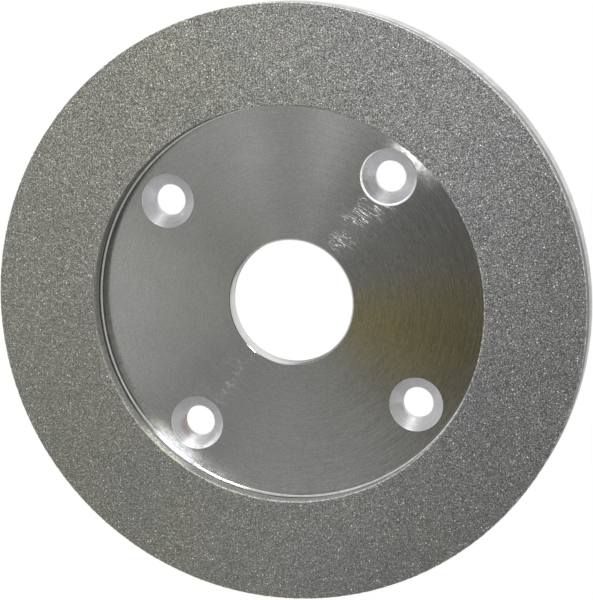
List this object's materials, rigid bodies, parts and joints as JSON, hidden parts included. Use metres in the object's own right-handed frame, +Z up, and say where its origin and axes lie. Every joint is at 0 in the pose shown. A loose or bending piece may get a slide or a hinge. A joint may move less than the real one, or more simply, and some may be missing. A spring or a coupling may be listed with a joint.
{
  "type": "diamond grinding wheel",
  "caption": "Flat plate-mounted diamond face wheel: turned aluminium body with a shallow recess, centre bore and countersunk screw holes, carrying a wide diamond rim.",
  "frame": {"origin": "centre of the wheel on its spin axis, half way through its thickness", "axes": "+Y along the spin axis towards the back mounting face, so the grinding face looks along -Y; +Z up with the wheel standing on its rim; +X to the right seen from the grinding face"},
  "size_m": [0.1524, 0.011, 0.1524],
  "materials": {
    "turned_aluminium": "bright fine-turned, concentric tool marks",
    "cement": "dark matt cement line",
    "backing_resin": "dark moulded resin, no diamond",
    "diamond_resin": "grey resin bond full of fine diamond grit, sparkling"
  },
  "bodies": {
    "root": {"aluminium_core": "turned_aluminium", "cement_film": "cement", "backing_ring": "backing_resin", "diamond_rim": "diamond_resin"}
  },
  "joints": []
}
